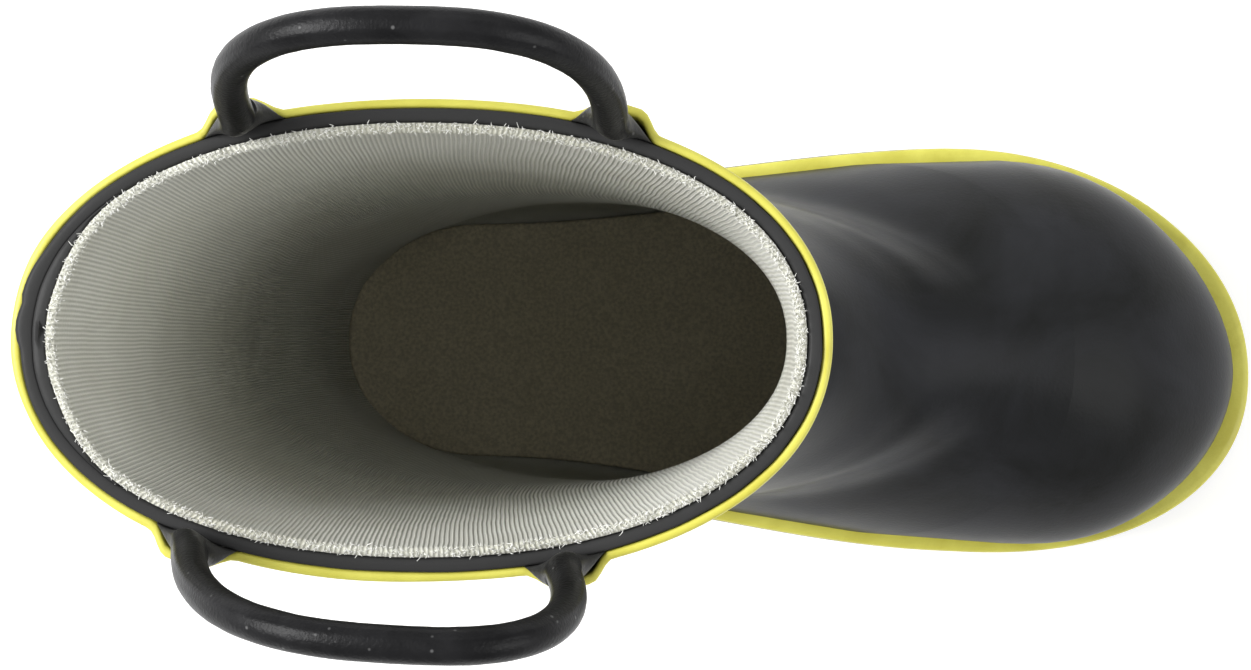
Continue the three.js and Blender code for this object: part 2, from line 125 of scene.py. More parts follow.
def foot_row(top_x, top_z, sole_x, sole_z, half, widest, squareness):
    """Row of the form round the foot; with no half width it takes the sole's, at the height
    of the foxing's top edge."""
    if not half:
        share = (foxing_top + 1.5 - sole_z) / (top_z - sole_z)
        fullness = arch((widest - share) / widest, squareness)
        half = (sole_half(mix(sole_x, top_x, share)) - upper_inset) / fullness
    return [top_x, top_z, sole_x, sole_z, half, widest, squareness]


# Rows of the form, from the rim down the leg and round the heel to the ball of the foot:
# front-and-top rail x and z, back-and-bottom rail x and z, half width, where along the row
# it is widest, and how square its sole end is.
rows = [shaft_row(rise) for rise in (1.15, 1, 0.66, 0.33, 0)] + [
    foot_row(101, 93, -1.4, 82, 28.1, 0.5, 2.15),
    foot_row(109, 80.5, 0.9, 60, 28.4, 0.5, 2.15),
    foot_row(118, 73, 1.9, 42, 29.2, 0.49, 2.25),
    foot_row(124, 70, 2.7, 28, 30, 0.46, 2.4),
    foot_row(128.5, 68, 6.8, 16.6, 30.2, 0.42, 2.7),
    foot_row(132, 66.6, 20, 14, 0, 0.38, 3.2),
    foot_row(136, 65.2, 45, 13.4, 0, 0.32, 3.8),
    foot_row(141, 63.6, 72, 12.4, 0, 0.28, 4),
    foot_row(147, 61.8, 100, 11.4, 0, 0.25, 4),
]
last_row = len(rows) - 1
toe_start = last_row + 1
toe_end = toe_start + 1


def row_at(station):
    """The form's row between two listed rows, on one smooth curve through them all."""
    i = min(last_row - 1, int(station))
    t = station - i
    b, c = rows[i], rows[i + 1]
    a = rows[i - 1] if i else [2 * p - q for p, q in zip(b, c)]
    d = rows[i + 2] if i + 2 <= last_row else [2 * q - p for p, q in zip(b, c)]
    return [
        0.5 * (2 * q + (r - p) * t + (2 * p - 5 * q + 4 * r - s) * t * t
               + (3 * q - p - 3 * r + s) * t ** 3)
        for p, q, r, s in zip(a, b, c, d)
    ]


def form_point(station, angle, wall=0.0, bottom=0.0):
    """A point of the form, wall millimetres inside its outer face; angle 0 is the top rail."""
    if station <= last_row:
        row = row_at(station)
        step = row_at(min(last_row, station + 0.02))
        before = row_at(max(0.0, station - 0.02))
        top_way = Vector((step[0] - before[0], step[1] - before[1])).normalized()
        sole_way = Vector((step[2] - before[2], step[3] - before[3])).normalized()
        inward = Vector((-sole_way.y, sole_way.x))
        top = Vector(row[0:2]) + Vector((top_way.y, -top_way.x)) * wall
        sole = Vector(row[2:4]) + inward * mix(wall, bottom, smooth(station, 7.5, 9.5))
        heart = (Vector(row[2:4]) + inward * wall).lerp(top, row[5])
        half, squareness = row[4] - wall, row[6]
    else:
        turn = min(1.0, station - toe_start) * math.pi / 2
        reach = max(0.0, math.sin(turn)) ** (2 / outline_power)
        close = max(0.0, math.cos(turn))
        toe_x = sole_length - upper_inset - toe_draw - toe_tuck - wall
        x = ball_x + (toe_x - ball_x) * reach
        top_x = x + toe_lean * close * (1 - reach)
        crown = arch((top_x - crown_from) / (toe_x - crown_from), crown_power)
        top = Vector((top_x, foxing_top + (crown_height - wall - foxing_top) * crown))
        sole = Vector((x, foxing_top - (feather_depth - bottom) * close ** 0.5))
        edge = Vector((x, foxing_top - (feather_depth - wall) * close ** 0.5))
        heart = edge.lerp(top, mix(0.25, 0.35, reach))
        half = (ball_width / 2 - upper_inset - wall) * close ** (2 / toe_taper)
        squareness = mix(4, 2.6, reach)
    u, v = math.cos(angle), math.sin(angle)
    power = 2 / (leg_roundness if u >= 0 else squareness)
    spot = heart.lerp(top if u >= 0 else sole, abs(u) ** power)
    y = sole_middle(spot.x) * (1 - smooth(spot.y, 60, 110)) + half * bent(v, power)
    return Vector((spot.x, y, spot.y))


def placed(point):
    """A point in the boot's own millimetres, put into the frame."""
    return Vector((heel_x + point.x * mm, mid_y + point.y * mm, point.z * mm))


def loft(name, rings):
    """A skin through closed rings of points, each ring extruded from the one before; rings
    that shrink to a point or come back to the first are merged shut.
    The UV map runs once round each ring, and across the rings in tenths of a metre."""
    round_share, across, travelled = [], [0.0], 0.0
    for points in rings:
        lengths = [0.0]
        for a, b in zip(points, points[1:] + points[:1]):
            lengths.append(lengths[-1] + (b - a).length)
        total = lengths[-1] or 1.0
        round_share.append([length / total for length in lengths])
    for before, points in zip(rings, rings[1:]):
        travelled += sum((b - a).length for a, b in zip(before, points)) / len(points)
        across.append(travelled / 100)
    bm = bmesh.new()
    uv = bm.loops.layers.uv.new("UVMap")
    count = len(rings[0])
    place = {}
    ring = [bm.verts.new(placed(p)) for p in rings[0]]
    edges = [bm.edges.new((ring[i], ring[(i + 1) % count])) for i in range(count)]
    for i, vert in enumerate(ring):
        place[vert] = (0, i)
    for row, points in enumerate(rings[1:], 1):
        grown = bmesh.ops.extrude_edge_only(bm, edges=edges)["geom"]
        fresh = {g for g in grown if isinstance(g, bmesh.types.BMVert)}
        edges = [g for g in grown if isinstance(g, bmesh.types.BMEdge) and set(g.verts) <= fresh]
        ring = [next(e.other_vert(v) for e in v.link_edges if e.other_vert(v) in fresh) for v in ring]
        for i, vert in enumerate(ring):
            vert.co = placed(points[i])
            place[vert] = (row, i)
    for face in bm.faces:
        columns = [place[c.vert][1] for c in face.loops]
        wraps = max(columns) - min(columns) > 1
        for corner, column in zip(face.loops, columns):
            row = place[corner.vert][0]
            share = 1.0 if wraps and column == 0 else round_share[row][column]
            corner[uv].uv = (share, across[row])
    bmesh.ops.remove_doubles(bm, verts=bm.verts, dist=2e-6)
    bmesh.ops.recalc_face_normals(bm, faces=bm.faces)
    return finished(name, bm)


def finished(name, bm, smooth_faces=True):
    """The finished mesh as an object in the scene."""
    mesh = bpy.data.meshes.new(name)
    bm.to_mesh(mesh)
    bm.free()
    piece = bpy.data.objects.new(name, mesh)
    bpy.context.scene.collection.objects.link(piece)
    for face in mesh.polygons:
        face.use_smooth = smooth_faces
    return piece


def backness(angle):
    """How far round from the back seam, in radians."""
    return abs((angle % (2 * math.pi)) - math.pi)


stay_thick, stiffener_thick = 1.6, 1.3


def stay_cover(station, angle):
    """1 where the stay lies behind the lining at the back seam, 0 elsewhere."""
    return (1 - smooth(station, 3.9, 4.6)) * (1 - smooth(backness(angle), 0.2, 0.72))


def padding(station, angle):
    """How far the stay, heel stiffener and toe puff push the lining in."""
    heel = smooth(station, 5, 6) * (1 - smooth(station, 8.4, 9.4))
    heel *= 1 - smooth(backness(angle), 0.9, 1.5)
    side = max(smooth(math.cos(angle), -0.7, -0.2), smooth(station, toe_end - 0.3, toe_end))
    toe = smooth(station, toe_start + 0.15, toe_start + 0.4) * side
    return stay_thick * stay_cover(station, angle) + stiffener_thick * (heel + toe)


def stations(leg_step, foot_step, toe_steps):
    """Row positions from the rim to the toe, closer together where the form turns."""
    found = []
    for place, end, step in ((1.0, 4, leg_step), (4.0, last_row, foot_step)):
        while place < end:
            found.append(place)
            place += step
    found.append(float(last_row))
    return found + [toe_start + i / toe_steps for i in range(toe_steps + 1)]


def form_rings(count, at, wall, bottom, extra=None):
    """Rings of the form at a list of stations; extra gives more depth at a point."""
    rings = []
    for s in at:
        ring = []
        for i in range(count):
            angle = 2 * math.pi * i / count
            deeper = extra(s, angle) if extra else 0.0
            ring.append(form_point(s, angle, wall + deeper, bottom + deeper))
        rings.append(ring)
    return rings


lining_points = 120
lining_top, fray_height = 0.3, 0.45
knit_outside, knit_inside = 2.0, 3.2
bed_outside, bed_inside = 4.0, 5.1
lining_rows = stations(0.1, 0.2, 14)
inner = form_rings(lining_points, lining_rows, knit_inside, bed_inside, padding)
outer = form_rings(lining_points, lining_rows, knit_outside, bed_outside, padding)
rim_ring = []
for low, high in zip(inner[0], outer[0]):
    middle = (low + high) / 2
    fray = noise.noise(middle * 0.9) * fray_height
    rim_ring.append(Vector((middle.x, middle.y, shaft_height + lining_top + fray)))
lining = loft("knit_lining", list(reversed(outer)) + [rim_ring] + inner)


def material(name):
    """A new node material: its tree, its shader and a function that adds a node."""
    made = bpy.data.materials.new(name)
    made.use_nodes = True
    tree = made.node_tree
    shader = tree.nodes["Principled BSDF"]

    def add(kind, inputs=None, **settings):
        node = tree.nodes.new(kind)
        for key, value in settings.items():
            setattr(node, key, value)
        for key, value in (inputs or {}).items():
            if isinstance(value, bpy.types.NodeSocket):
                tree.links.new(value, node.inputs[key])
            else:
                node.inputs[key].default_value = value
        return node

    return made, tree, shader, add


def ramp(add, factor, *stops):
    """A colour ramp through (place, colour) stops, fed by factor."""
    node = add("ShaderNodeValToRGB", {"Fac": factor})
    band = node.color_ramp
    while len(band.elements) < len(stops):
        band.elements.new(0.5)
    for element, (place, colour) in zip(band.elements, stops):
        element.position = place
        element.color = (*colour, 1)
    return node.outputs["Color"]


knit, tree, shader, add = material("ribbed knit")
ribs_round = 372
courses = 105
rib_lean = 0.54
uv = add("ShaderNodeUVMap", uv_map="UVMap").outputs["UV"]
parts = add("ShaderNodeSeparateXYZ", {"Vector": uv})
places = add("ShaderNodeTexCoord").outputs["Object"]
drift = add("ShaderNodeTexNoise", {"Vector": places, "Scale": 45, "Detail": 2}).outputs["Fac"]
height = add("ShaderNodeSeparateXYZ", {"Vector": places}).outputs["Z"]
depth = add("ShaderNodeMath", {0: shaft_height * mm, 1: height}, operation="SUBTRACT")
sideways = add("ShaderNodeMath", {0: parts.outputs["X"], 1: 2 * math.pi}, operation="MULTIPLY")
sideways = add("ShaderNodeMath", {0: sideways.outputs[0]}, operation="SINE")
sideways = add("ShaderNodeMath", {0: sideways.outputs[0], 1: depth.outputs[0]}, operation="MULTIPLY")
leaning = {0: sideways.outputs[0], 1: -rib_lean, 2: parts.outputs["X"]}
leaning = add("ShaderNodeMath", leaning, operation="MULTIPLY_ADD")
turn = add("ShaderNodeMath", {0: leaning.outputs[0], 1: ribs_round * 2 * math.pi}, operation="MULTIPLY")
sway = add("ShaderNodeMath", {0: drift, 1: 7.0, 2: turn.outputs[0]}, operation="MULTIPLY_ADD")
rib = add("ShaderNodeMath", {0: sway.outputs[0]}, operation="SINE")
course = add("ShaderNodeMath", {0: parts.outputs["Y"], 1: courses * 2 * math.pi}, operation="MULTIPLY")
lean = add("ShaderNodeMath", {0: rib.outputs[0], 1: 1.4, 2: course.outputs[0]}, operation="MULTIPLY_ADD")
stitch = add("ShaderNodeMath", {0: lean.outputs[0]}, operation="SINE")
fuzz = add("ShaderNodeTexNoise", {"Vector": places, "Scale": 2600, "Detail": 3}).outputs["Fac"]
relief = {0: stitch.outputs[0], 1: 0.14, 2: rib.outputs[0]}
relief = add("ShaderNodeMath", relief, operation="MULTIPLY_ADD")
relief = add("ShaderNodeMath", {0: fuzz, 1: 0.9, 2: relief.outputs[0]}, operation="MULTIPLY_ADD")
# Painted shade: the yarn colour is darkened in the grooves between ribs and stitches, and varies at
# random with the fine fuzz.
shade = add("ShaderNodeMapRange", {"Value": relief.outputs[0], "From Min": -1.1, "From Max": 1.6})
yarn_and_groove_shade_tones = (0.1, (0.38, 0.38, 0.32)), (0.5, (0.53, 0.53, 0.46)), (0.9, (0.68, 0.68, 0.61))
yarn = ramp(add, shade.outputs[0], *yarn_and_groove_shade_tones)
grime = add("ShaderNodeTexNoise", {"Vector": places, "Scale": 38, "Detail": 4}).outputs["Fac"]
dirt = ramp(add, grime, (0.35, (0.80, 0.79, 0.74)), (0.65, (1, 1, 1)))
yarn = add("ShaderNodeMix", {0: 0.8, 6: yarn, 7: dirt}, data_type="RGBA", blend_type="MULTIPLY")
bump = add("ShaderNodeBump", {"Height": relief.outputs[0], "Strength": 0.65, "Distance": 0.00016})
tree.links.new(yarn.outputs[2], shader.inputs["Base Color"])
tree.links.new(bump.outputs[0], shader.inputs["Normal"])
shader.inputs["Roughness"].default_value = 0.95
shader.inputs["Sheen Weight"].default_value = 0.4
shader.inputs["Sheen Roughness"].default_value = 0.5
lining.data.materials.append(knit)
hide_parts("leg_lining", "foot_lining")
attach(lining, "boot")

# ---------------------------------------------------------------------------------------
# Cut edge of the lining. The knit was cut off level with the collar, and its yarn ends
# stand up in a fine pale fringe that leans both ways.

strand_thick, strand_count = 0.065, 5200
strands = bpy.data.curves.new("lining_fringe", "CURVE")
strands.dimensions = "3D"
strands.bevel_depth = strand_thick * mm
strands.bevel_resolution = 0
strands.use_fill_caps = True
dice = random.Random(7)
for number in range(strand_count):
    angle = 2 * math.pi * (number + dice.random()) / strand_count
    depth = dice.uniform(2.0, 3.3) + padding(1.0, angle)
    foot = form_point(1.0, angle, depth, depth)
    foot.z = shaft_height + dice.uniform(-0.7, 0.3)
    length = dice.uniform(0.35, 1.05) * (1.9 if dice.random() < 0.05 else 1)
    outwards = form_point(1.0, angle, depth - 1, depth - 1) - foot
    outwards.z = 0
    outwards.normalize()
    along = Vector((-outwards.y, outwards.x, 0))
    lean = outwards * dice.uniform(-0.9, 0.6) + along * dice.uniform(-0.9, 0.9)
    curl = outwards * dice.uniform(-0.8, 0.5) + along * dice.uniform(-0.8, 0.8)
    middle = foot + (Vector((0, 0, 1)) + lean * 0.5).normalized() * length * 0.55
    tip = middle + (Vector((0, 0, 0.7)) + lean + curl).normalized() * length * 0.5
    strand = strands.splines.new("POLY")
    strand.points.add(2)
    for point, spot, width in zip(strand.points, (foot, middle, tip), (1.0, 0.9, 0.35)):
        point.co = (*placed(spot), 1)
        point.radius = width
fringe = bpy.data.objects.new("strand_curves", strands)
fringe_mesh = bpy.data.meshes.new_from_object(fringe)
bpy.data.objects.remove(fringe)
bpy.data.curves.remove(strands)
fringe_mesh.materials.clear()
strand_bm = bmesh.new()
strand_bm.from_mesh(fringe_mesh)
bmesh.ops.remove_doubles(strand_bm, verts=strand_bm.verts, dist=1e-7)
bmesh.ops.recalc_face_normals(strand_bm, faces=strand_bm.faces)
fringe = finished("lining_fringe", strand_bm)

yarn_ends, tree, shader, add = material("cut yarn ends")
places = add("ShaderNodeTexCoord").outputs["Object"]
tint = add("ShaderNodeTexNoise", {"Vector": places, "Scale": 900, "Detail": 2}).outputs["Fac"]
tint = ramp(add, tint, (0.3, (0.72, 0.72, 0.67)), (0.7, (0.95, 0.95, 0.92)))
tree.links.new(tint, shader.inputs["Base Color"])
shader.inputs["Roughness"].default_value = 0.9
shader.inputs["Sheen Weight"].default_value = 0.5
fringe.data.materials.append(yarn_ends)
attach(fringe, "boot")

# ---------------------------------------------------------------------------------------
# Insole board, filler, heel stiffener and toe puff. Bonded fibre pieces laid on the sock
# before the rubber goes on; they stay hidden inside the boot.

fibre, tree, shader, add = material("bonded fibre")
places = add("ShaderNodeTexCoord").outputs["Object"]
grain = {"Vector": places, "Scale": 700, "Detail": 5, "Distortion": 1.2}
grain = add("ShaderNodeTexNoise", grain).outputs["Fac"]
tone = ramp(add, grain, (0.35, (0.16, 0.12, 0.07)), (0.65, (0.34, 0.27, 0.17)))
tree.links.new(tone, shader.inputs["Base Color"])
bump = add("ShaderNodeBump", {"Height": grain, "Strength": 0.5, "Distance": 0.0002})
tree.links.new(bump.outputs[0], shader.inputs["Normal"])
shader.inputs["Roughness"].default_value = 0.92
for node in ("insole_board", "bottom_filler", "heel_stiffener", "toe_puff"):
    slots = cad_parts[node].data.materials
    slots.clear()
    slots.append(fibre)

# ---------------------------------------------------------------------------------------
# Rubber upper. Vamp and leg are sheets of black rubber laid over the sock, rolled smooth
# and cured into one satin skin; its cut top edge is the black lip inside the collar.

upper_points = 180
upper_rows = stations(0.08, 0.14, 20)[1:]
lip = 1.9


def squeeze_out(angle):
    """How far the lip's rubber was pressed out over the collar band: in two lobes beside
    the back seam, and a trace elsewhere."""
    side = backness(angle) * (1 if angle < math.pi else -1)
    lobes = 0.75 * smooth(side, -0.03, 0.02) * (1 - smooth(side, 0.09, 0.13))
    lobes += 0.55 * smooth(side, 0.10, 0.19) * (1 - smooth(side, 0.22, 0.42))
    return lobes + 0.12 * noise.noise(Vector((math.cos(angle), math.sin(angle), 0)) * 9)


def lip_ring(inset, drop, spread):
    """One ring of the rounded, slightly wavy lip; spread takes the pressed-out rubber."""
    ring = []
    for i in range(upper_points):
        angle = 2 * math.pi * i / upper_points
        out = inset - spread * squeeze_out(angle)
        point = form_point(1.0, angle, out, out)
        wave = 0.16 * noise.noise(Vector((math.cos(angle), math.sin(angle), 0)) * 4)
        point.z = shaft_height - drop + wave * (drop < 0.5)
        ring.append(point)
    return ring


def toe_tuck_in(station, angle):
    """The vamp is lasted a little tighter round the toe, which shows more of the foxing."""
    return 0.9 * smooth(station, toe_start + 0.1, toe_start + 0.5)


skin = form_rings(upper_points, upper_rows, 0, 0, toe_tuck_in)
inside = form_rings(upper_points, upper_rows, lip, lip)
lip_section = [(0, 0.7, 0), (0, 0.38, 1), (0.06, 0.16, 1), (0.4, 0, 0.6), (1.4, 0, 0)]
lip_section += [(1.75, 0.25, 0), (lip, 0.7, 0)]
edge = [lip_ring(*row) for row in lip_section]
upper = loft("rubber_upper", list(reversed(skin)) + edge + inside)


def clouding():
    """Group: slow clouds of bloom and fine pitting that cured rubber has."""
    group = bpy.data.node_groups.new("rubber bloom", "ShaderNodeTree")
    group.interface.new_socket("Cloud Scale", in_out="INPUT", socket_type="NodeSocketFloat")
    group.interface.new_socket("Pit Scale", in_out="INPUT", socket_type="NodeSocketFloat")
    group.interface.new_socket("Clouds", in_out="OUTPUT", socket_type="NodeSocketFloat")
    group.interface.new_socket("Pits", in_out="OUTPUT", socket_type="NodeSocketFloat")
    nodes, links = group.nodes, group.links
    came_in = nodes.new("NodeGroupInput")
    goes_out = nodes.new("NodeGroupOutput")
    where = nodes.new("ShaderNodeTexCoord")
    clouds = nodes.new("ShaderNodeTexNoise")
    clouds.inputs["Detail"].default_value = 5
    clouds.inputs["Roughness"].default_value = 0.6
    clouds.inputs["Distortion"].default_value = 0.6
    pits = nodes.new("ShaderNodeTexNoise")
    pits.inputs["Detail"].default_value = 3
    for noise_node, size in ((clouds, "Cloud Scale"), (pits, "Pit Scale")):
        links.new(where.outputs["Object"], noise_node.inputs["Vector"])
        links.new(came_in.outputs[size], noise_node.inputs["Scale"])
    links.new(clouds.outputs["Fac"], goes_out.inputs["Clouds"])
    links.new(pits.outputs["Fac"], goes_out.inputs["Pits"])
    return group


bloom_group = clouding()


def rubber(name, dark, light, roughness, cloud_scale, pit_scale, pit_depth, shine=0.5):
    """A cured rubber: two tones clouded into each other, gloss that varies with them."""
    made, tree, shader, add = material(name)
    bloom = add("ShaderNodeGroup", node_tree=bloom_group)
    bloom.inputs["Cloud Scale"].default_value = cloud_scale
    bloom.inputs["Pit Scale"].default_value = pit_scale
    tone = ramp(add, bloom.outputs["Clouds"], (0.32, dark), (0.68, light))
    gloss = add("ShaderNodeMapRange", {"Value": bloom.outputs["Clouds"], "From Min": 0.3,
                                       "From Max": 0.7, "To Min": roughness[0],
                                       "To Max": roughness[1]})
    pits = {"Height": bloom.outputs["Pits"], "Strength": 0.5, "Distance": pit_depth}
    bump = add("ShaderNodeBump", pits)
    tree.links.new(tone, shader.inputs["Base Color"])
    tree.links.new(gloss.outputs[0], shader.inputs["Roughness"])
    tree.links.new(bump.outputs[0], shader.inputs["Normal"])
    shader.inputs["Specular IOR Level"].default_value = shine
    return made


black = rubber("black rubber", (0.0155, 0.016, 0.0155), (0.028, 0.029, 0.032), (0.28, 0.42),
               cloud_scale=38, pit_scale=1500, pit_depth=0.00006, shine=0.05)
tree = black.node_tree
shader = tree.nodes["Principled BSDF"]
places = tree.nodes.new("ShaderNodeTexCoord")
heights = tree.nodes.new("ShaderNodeSeparateXYZ")
# The top millimetre of the rubber, round the lip, is mixed towards a lighter grey.
top_edge_mask = tree.nodes.new("ShaderNodeMapRange")
top_edge_mask.inputs["From Min"].default_value = (shaft_height - 1.2) * mm
top_edge_mask.inputs["From Max"].default_value = (shaft_height - 0.2) * mm
top_edge_lightening = tree.nodes.new("ShaderNodeMix")
top_edge_lightening.data_type = "RGBA"
top_edge_lightening.inputs[7].default_value = (0.036, 0.036, 0.036, 1)
tone = shader.inputs["Base Color"].links[0].from_socket
tree.links.new(places.outputs["Object"], heights.inputs[0])
tree.links.new(heights.outputs["Z"], top_edge_mask.inputs["Value"])
tree.links.new(top_edge_mask.outputs[0], top_edge_lightening.inputs[0])
tree.links.new(tone, top_edge_lightening.inputs[6])
tree.links.new(top_edge_lightening.outputs[2], shader.inputs["Base Color"])
upper.data.materials.append(black)
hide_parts("vamp", "leg")
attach(upper, "boot")

# ---------------------------------------------------------------------------------------
# Back stay. A second strip of rubber laid inside the leg over its back seam, trimmed by
# hand, so its top edge is wider than the lip and a little ragged.

stay_points, stay_half_angle = 36, 0.7
stay_on_leg, stay_inside = 1.65, 1.98
slit_at, slit_half = 0.028, 0.014
stay_rows = [1.0 + 0.08 * i for i in range(1, 36)]


def capped(piece):
    """Closes the open ends of a lofted piece."""
    bm = bmesh.new()
    bm.from_mesh(piece.data)
    bmesh.ops.holes_fill(bm, edges=[e for e in bm.edges if e.is_boundary], sides=0)
    bmesh.ops.recalc_face_normals(bm, faces=bm.faces)
    bm.to_mesh(piece.data)
    bm.free()
    for face in piece.data.polygons:
        face.use_smooth = len(face.vertices) <= 4
    return piece


def stay_ring(station, pinch, lift):
    """Closed section of the stay: out along its face on the leg, home along the other; with
    no pinch given the two faces meet, which closes the end."""
    back, front = [], []
    for i in range(stay_points + 1):
        angle = math.pi + mix(-stay_half_angle, stay_half_angle, i / stay_points)
        rag = 0.3 * noise.noise(Vector((i * 0.45, station * 3, 2)))
        thick = stay_thick * stay_cover(1.0, angle) * (1 + rag * 0.3)
        slit = math.exp(-(((angle - math.pi + slit_at) / slit_half) ** 2))
        middle = 1.8 + thick / 2
        pinched = (stay_on_leg + pinch, stay_inside + thick - pinch) if pinch is not None else None
        depths = pinched or (middle, middle)
        for side, depth in zip((back, front), depths):
            point = form_point(station, angle, depth, depth)
            point.z += lift
            if lift:
                point.z += 0.4 * rag - 1.3 * slit * (side is front)
            side.append(point)
    return back + list(reversed(front))


stay_section = [(1.0, None, -0.02), (1.0, 0.35, -0.03), (1.0, 0.1, -0.15), (1.0, 0, -0.45)]
stay_section += [(place, 0, 0) for place in stay_rows] + [(stay_rows[-1], None, 0)]
stay = capped(loft("back_stay_strip", [stay_ring(*row) for row in stay_section]))
stay.data.materials.append(black)
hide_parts("back_stay")
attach(stay, "boot")

# ---------------------------------------------------------------------------------------
# Outsole. Moulded black rubber with a lugged tread in two rows, a thin flange that shows
# below the foxing, and a raised bed that the upper sits in.

lug_height, flange_top = 3.5, 6.0
lug_length, lug_groove, centre_groove, lug_edge = 8.5, 3.5, 3.2, 0.5
heel_lugs, forefoot_lugs = (4, 5), (88, 8)
bed_height = 10.5


def outline(inset, draw=0.0, steps=40, waist_steps=24):
    """Points round the sole's outline, inset from its edge, at z 0."""
    toe = sole_length - ball_x - inset - draw
    heel = heel_curve_x - inset
    along = [heel_curve_x - heel * math.cos(math.pi / 2 * i / steps) for i in range(steps)]
    along += [mix(heel_curve_x, ball_x, i / waist_steps) for i in range(waist_steps)]
    along += [ball_x + toe * math.sin(math.pi / 2 * i / steps) for i in range(steps + 1)]
    places = [(x, 1) for x in along] + [(x, -1) for x in reversed(along[1:-1])]
    return [Vector((x, sole_middle(x) + side * sole_half(x, inset, draw), 0)) for x, side in places]


def outline_ring(inset, z):
    return [Vector((p.x, p.y, z)) for p in outline(inset)]


sole_levels = [(0.8, lug_height), (0.25, lug_height + 0.25), (0, lug_height + 0.8)]
sole_levels += [(0, flange_top - 0.7), (0.2, flange_top - 0.2), (0.6, flange_top)]
sole_levels += [(3.4, flange_top + 0.05), (4.6, flange_top + 0.3), (5.0, bed_height)]
outsole = capped(loft("outsole_body", [outline_ring(inset, z) for inset, z in sole_levels]))
tread = bmesh.new()
groove_y = sole_middle(ball_x / 2)
for first, count in (heel_lugs, forefoot_lugs):
    for number in range(count):
        x0 = first + number * (lug_length + lug_groove)
        for side in (1, -1):
            across = [x0 + lug_length * i / 6 for i in range(7)]
            outer_edge = [Vector((x, sole_middle(x) + side * sole_half(x, 2), 0)) for x in across]
            groove_edge = groove_y + side * centre_groove / 2
            inner_edge = [Vector((x, groove_edge, 0)) for x in reversed(across)]
            corners = [tread.verts.new(placed(p)) for p in outer_edge + inner_edge]
            face = tread.faces.new(corners)
            grown = bmesh.ops.extrude_face_region(tread, geom=[face])["geom"]
            raised = [g for g in grown if isinstance(g, bmesh.types.BMVert)]
            bmesh.ops.translate(tread, verts=raised, vec=(0, 0, (lug_height + 0.3) * mm))
bmesh.ops.recalc_face_normals(tread, faces=tread.faces)
foot_edges = [e for e in tread.edges if all(v.co.z < 1e-5 for v in e.verts)]
bmesh.ops.bevel(tread, geom=foot_edges, offset=lug_edge * mm, segments=2, profile=0.5,
                affect="EDGES", material=-1)
tread = finished("tread_lugs", tread, False)
sole_black = rubber("outsole rubber", (0.010, 0.010, 0.011), (0.026, 0.026, 0.027), (0.5, 0.68),
                    cloud_scale=90, pit_scale=2600, pit_depth=0.0001)
for piece in (outsole, tread):
    piece.data.materials.append(sole_black)
    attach(piece, "boot")
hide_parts("outsole")

# ---------------------------------------------------------------------------------------
# Foxing strip. A strip of pale yellow rubber wrapped by hand round the join of upper and
# outsole and cured with them; its top edge is soft and a little uneven.

foxing_bottom, foxing_outer, foxing_inner = 6.1, 1.0, 4.8
skin_faces = [tuple(f.vertices) for f in upper.data.polygons]
skin_tree = BVHTree.FromPolygons([v.co for v in upper.data.vertices], skin_faces)
edge_points, inner_points = outline(0, toe_draw), outline(3, toe_draw)


def slack_round():
    """How far the upper lies inside its usual place at each point of the outline."""
    found = []
    for p, q in zip(edge_points, inner_points):
        start = placed(Vector((p.x, p.y, foxing_top - 1)))
        inward = placed(Vector((q.x, q.y, foxing_top - 1))) - start
        hit = skin_tree.ray_cast(start, inward, 15 * mm)
        found.append(max(0.0, hit[3] / mm - upper_inset) if hit[0] else 0.0)
    count = len(found)
    return [sum(found[(i + k) % count] for k in range(-3, 4)) / 7 for i in range(count)]


slack = slack_round()


def foxing_ring(inset, z, waver):
    """One ring of the strip. Round the heel the whole strip follows the upper; at the toe
    only its top edge reaches in to it."""
    ring = []
    tighter = smooth(z, 7, foxing_top - 2)
    reaching = smooth(inset, foxing_outer + 0.6, foxing_outer + 3)
    for p, q, gap in zip(edge_points, inner_points, slack):
        wave = waver * noise.noise(Vector((p.x, p.y, z)) * 0.07)
        follow = gap * tighter * mix(1, reaching, smooth(p.x, 60, 110))
        inward = (q - p).normalized() * (inset + follow)
        ring.append(Vector((p.x + inward.x, p.y + inward.y, z + wave)))
    return ring


# The section: out along the bottom, up the face past a shallow groove, in over the top.
uneven = 0.35
section = [(foxing_inner, foxing_bottom, 0), (foxing_outer + 0.3, foxing_bottom, 0)]
section += [(foxing_outer, foxing_bottom + 0.4, 0), (foxing_outer - 0.05, 9.0, 0)]
section += [(foxing_outer + 0.28, 9.3, 0), (foxing_outer + 0.28, 9.9, 0)]
section += [(foxing_outer - 0.05, 10.2, 0), (foxing_outer, 14.0, 0.1)]
section += [(foxing_outer, foxing_top - 1.2, uneven)]
section += [(foxing_outer + 0.15, foxing_top - 0.45, uneven)]
section += [(foxing_outer + 0.5, foxing_top - 0.08, uneven)]
section += [(foxing_outer + 1.2, foxing_top + 0.1, uneven)]
section += [(foxing_outer + 1.9, foxing_top, uneven)]
section += [(foxing_outer + 2.7, foxing_top - 0.1, uneven)]
section += [(foxing_outer + 3.6, foxing_top - 0.4, 0.3), (foxing_inner, foxing_top - 1.6, 0)]
foxing = loft("foxing_band", [foxing_ring(*row) for row in section + section[:1]])
yellow = rubber("yellow rubber", (0.53, 0.49, 0.06), (0.66, 0.63, 0.105), (0.42, 0.58),
                cloud_scale=75, pit_scale=1800, pit_depth=0.00008)
foxing.data.materials.append(yellow)
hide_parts("foxing_strip")
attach(foxing, "boot")

# ---------------------------------------------------------------------------------------
# Pull loops. Each is one black rubber moulding: a round rod bent to an arch whose two ends
# flatten into tabs, which are cemented between the leg and the collar band.

